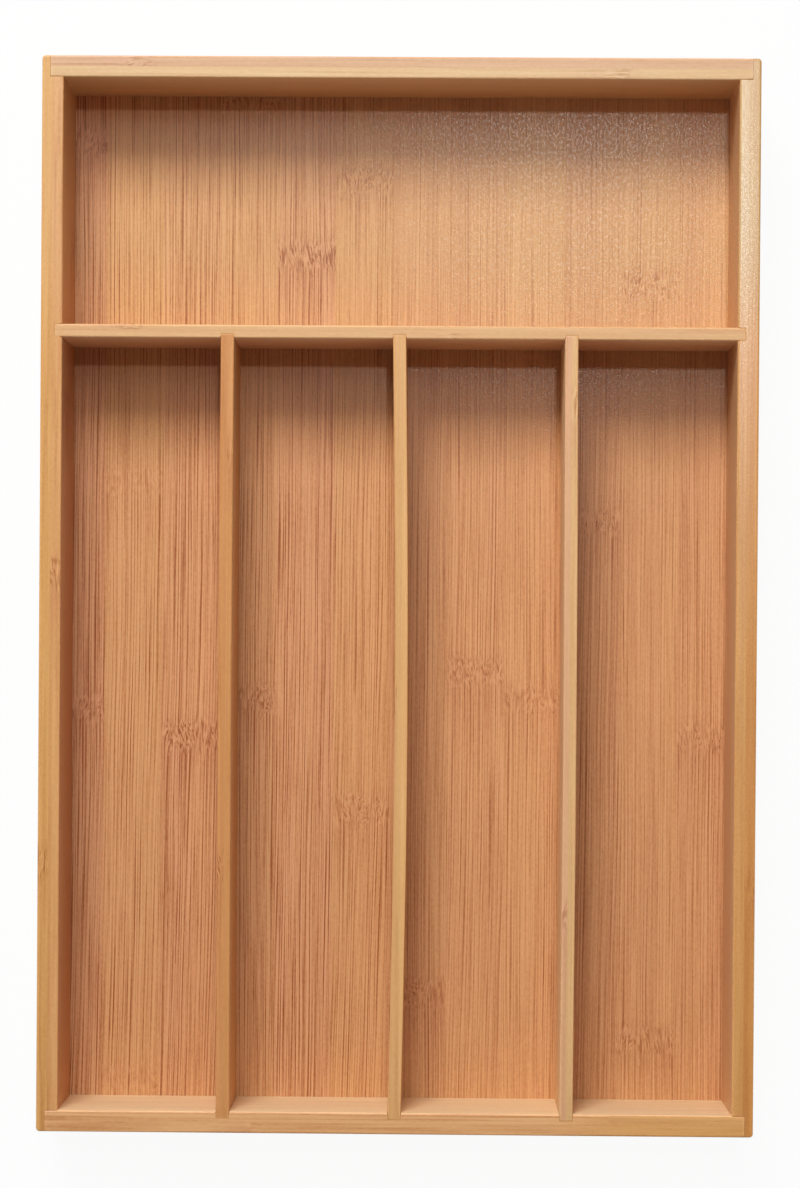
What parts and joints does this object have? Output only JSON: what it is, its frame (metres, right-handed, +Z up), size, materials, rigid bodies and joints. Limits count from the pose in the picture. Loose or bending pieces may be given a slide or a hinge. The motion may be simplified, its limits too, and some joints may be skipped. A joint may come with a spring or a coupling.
{
  "type": "cutlery tray",
  "caption": "Open bamboo cutlery tray for a drawer: a wide bay across the back and long bays in front, with grooved floor, rabbeted corners and housed dividers.",
  "frame": {"origin": "on the surface that the tray stands on, under the middle of its outline", "axes": "+X to the right, +Y to the back, where the wide bay is, +Z up out of the bays"},
  "size_m": [0.3, 0.45, 0.05],
  "materials": {
    "rim_bamboo": "light caramel bamboo in two flat plies, clear satin lacquer, eased edges",
    "divider_bamboo": "light caramel bamboo in one ply, clear satin lacquer, eased top edges",
    "floor_bamboo": "warm caramel bamboo strips glued edge to edge along the tray, nodes showing, clear satin lacquer"
  },
  "bodies": {
    "root": {"left_side": "rim_bamboo", "right_side": "rim_bamboo", "front_board": "rim_bamboo", "back_board": "rim_bamboo", "floor_panel": "floor_bamboo", "cross_divider": "divider_bamboo", "long_divider_left": "divider_bamboo", "long_divider_middle": "divider_bamboo", "long_divider_right": "divider_bamboo"}
  },
  "joints": []
}
